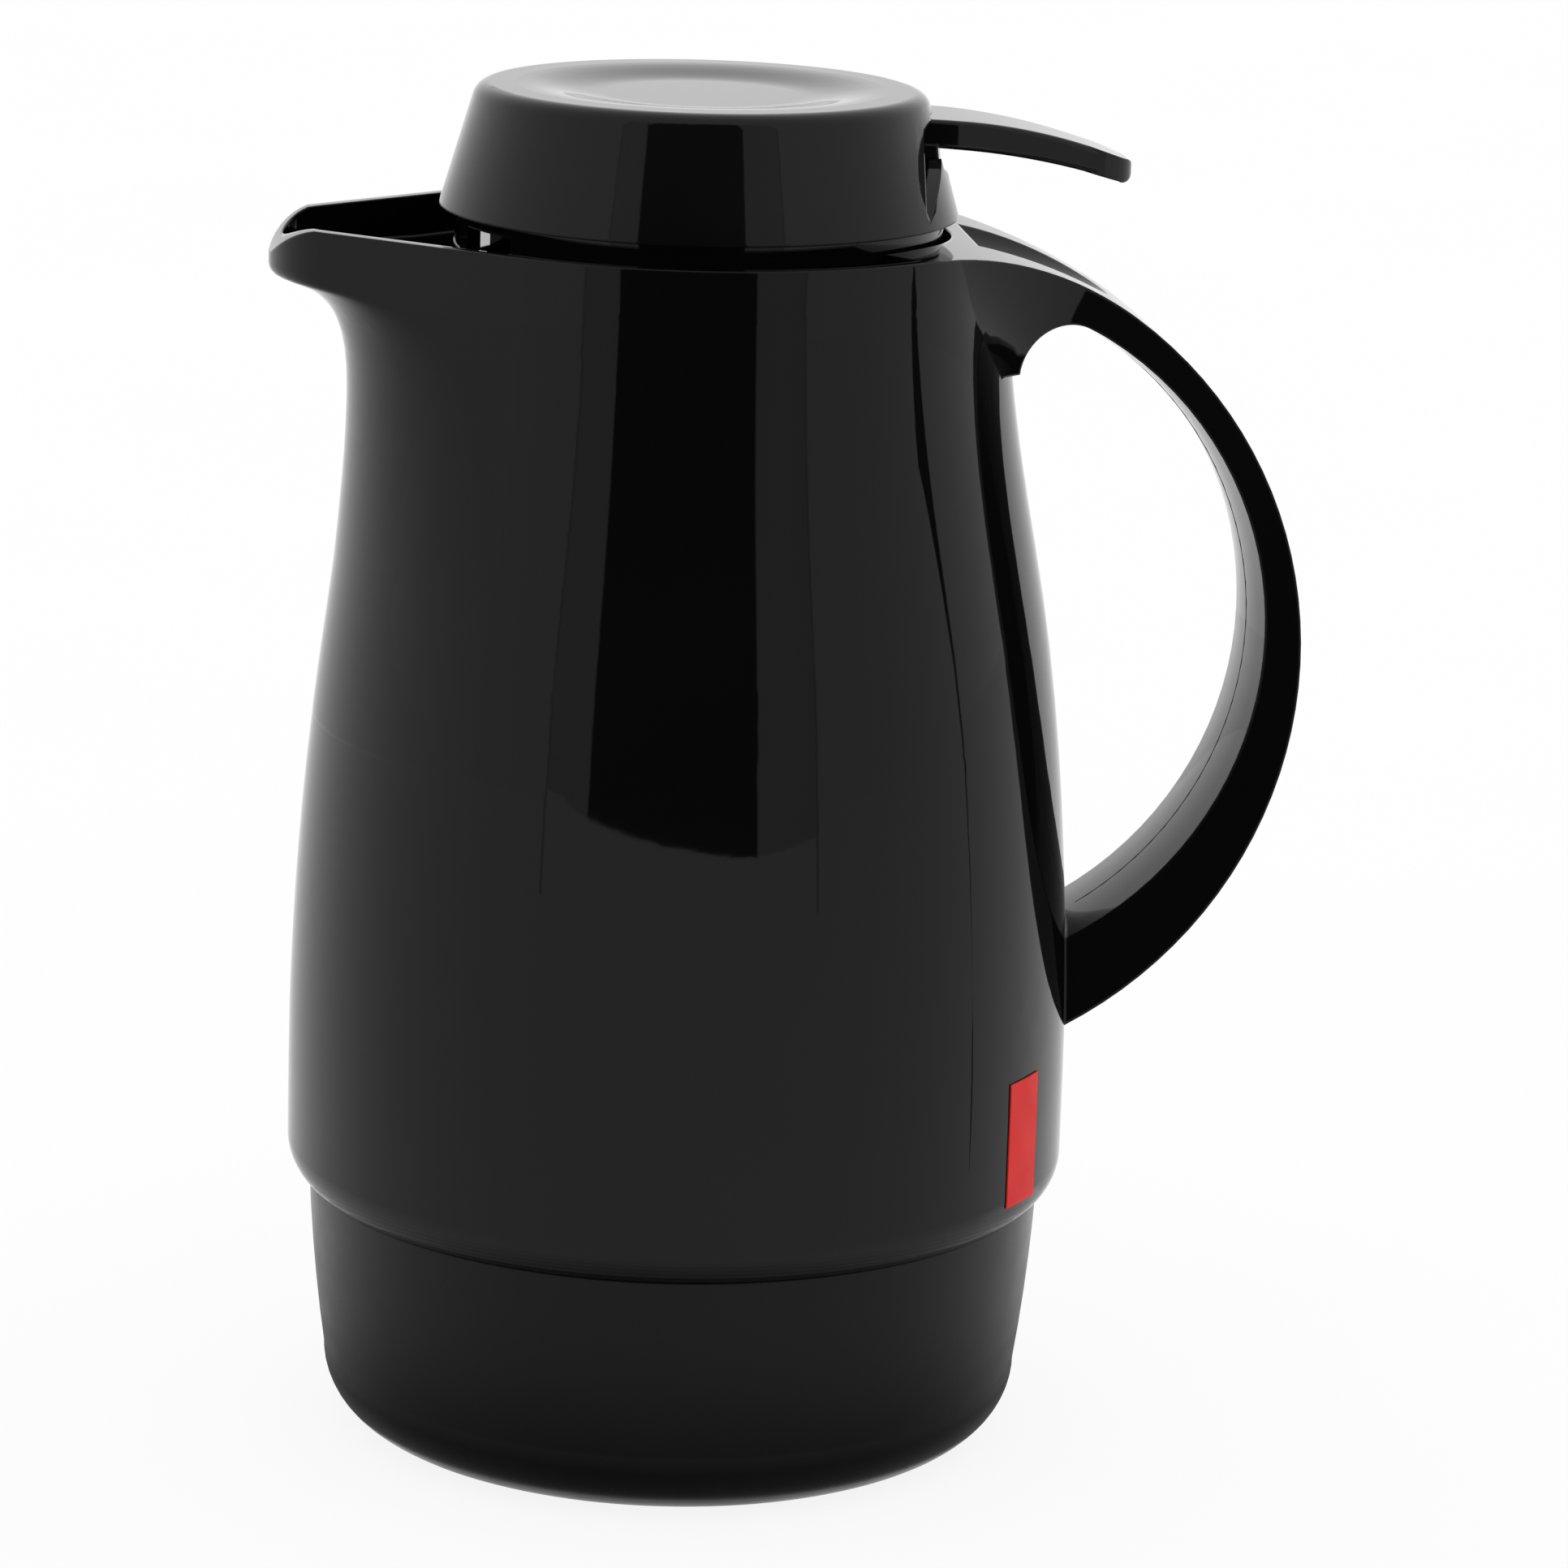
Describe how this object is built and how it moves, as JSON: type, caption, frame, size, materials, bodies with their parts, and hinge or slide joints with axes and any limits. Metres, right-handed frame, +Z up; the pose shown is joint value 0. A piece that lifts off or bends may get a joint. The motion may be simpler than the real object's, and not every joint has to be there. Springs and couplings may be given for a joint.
{
  "type": "thermal carafe",
  "caption": "Tall barrel-shaped thermal carafe with a short spout, a crescent handle and a screw-in closure whose thumb lever lifts a sprung pouring valve.",
  "frame": {"origin": "centre of the base on the table", "axes": "+Z up, +X towards the handle, the spout at -X"},
  "size_m": [0.1754, 0.134, 0.232],
  "materials": {
    "gloss_black": "gloss",
    "satin_black": "satin",
    "flask_glass": "silvered glass",
    "grey_rubber": "soft",
    "inner_plastic": "moulded",
    "bright_steel": "drawn wire",
    "label_red": "printed film"
  },
  "bodies": {
    "carafe": {"body_jacket": "gloss_black", "base_cup": "satin_black", "base_seal_ring": "grey_rubber", "glass_outer": "flask_glass", "glass_inner": "flask_glass", "glass_spacers": "inner_plastic", "centring_ring": "inner_plastic", "base_cushion": "grey_rubber", "neck_gasket": "grey_rubber", "neck_collar": "inner_plastic", "side_label": "label_red"},
    "closure_seal": {"stopper_gasket": "grey_rubber"},
    "closure": {"stopper_plug": "gloss_black", "cap_shell": "gloss_black", "valve_guide": "inner_plastic", "lever_pin": "bright_steel", "valve_spring": "bright_steel"},
    "lever": {"lever": "gloss_black"},
    "valve": {"valve_poppet": "inner_plastic", "valve_seal": "grey_rubber", "stem_clip": "bright_steel"}
  },
  "joints": [
    {"name": "closure_lift", "type": "slide", "parent": "carafe", "child": "closure_seal", "axis": [0, 0, 1], "range_m": [0, 0.00901]},
    {"name": "closure_turn", "type": "hinge", "parent": "closure_seal", "child": "closure", "pos_m": [0, 0, 0.2], "axis": [0, 0, 1], "range_deg": [0, 540]},
    {"name": "lever_press", "type": "hinge", "parent": "closure", "child": "lever", "pos_m": [0.027, 0, 0.2242], "axis": [0, 1, 0], "range_deg": [0, 12], "stiffness_Nm_per_rad": 0.3, "springref_deg": -8.02},
    {"name": "valve_lift", "type": "slide", "parent": "closure", "child": "valve", "axis": [0, 0, 1], "range_m": [0, 0.00585], "deforming": ["valve_spring"]}
  ],
  "couplings": [
    {"joint": "closure_lift", "follows": "closure_turn", "m_per_rad": 0.00095493},
    {"joint": "valve_lift", "follows": "lever_press", "m_per_rad": 0.0277}
  ]
}
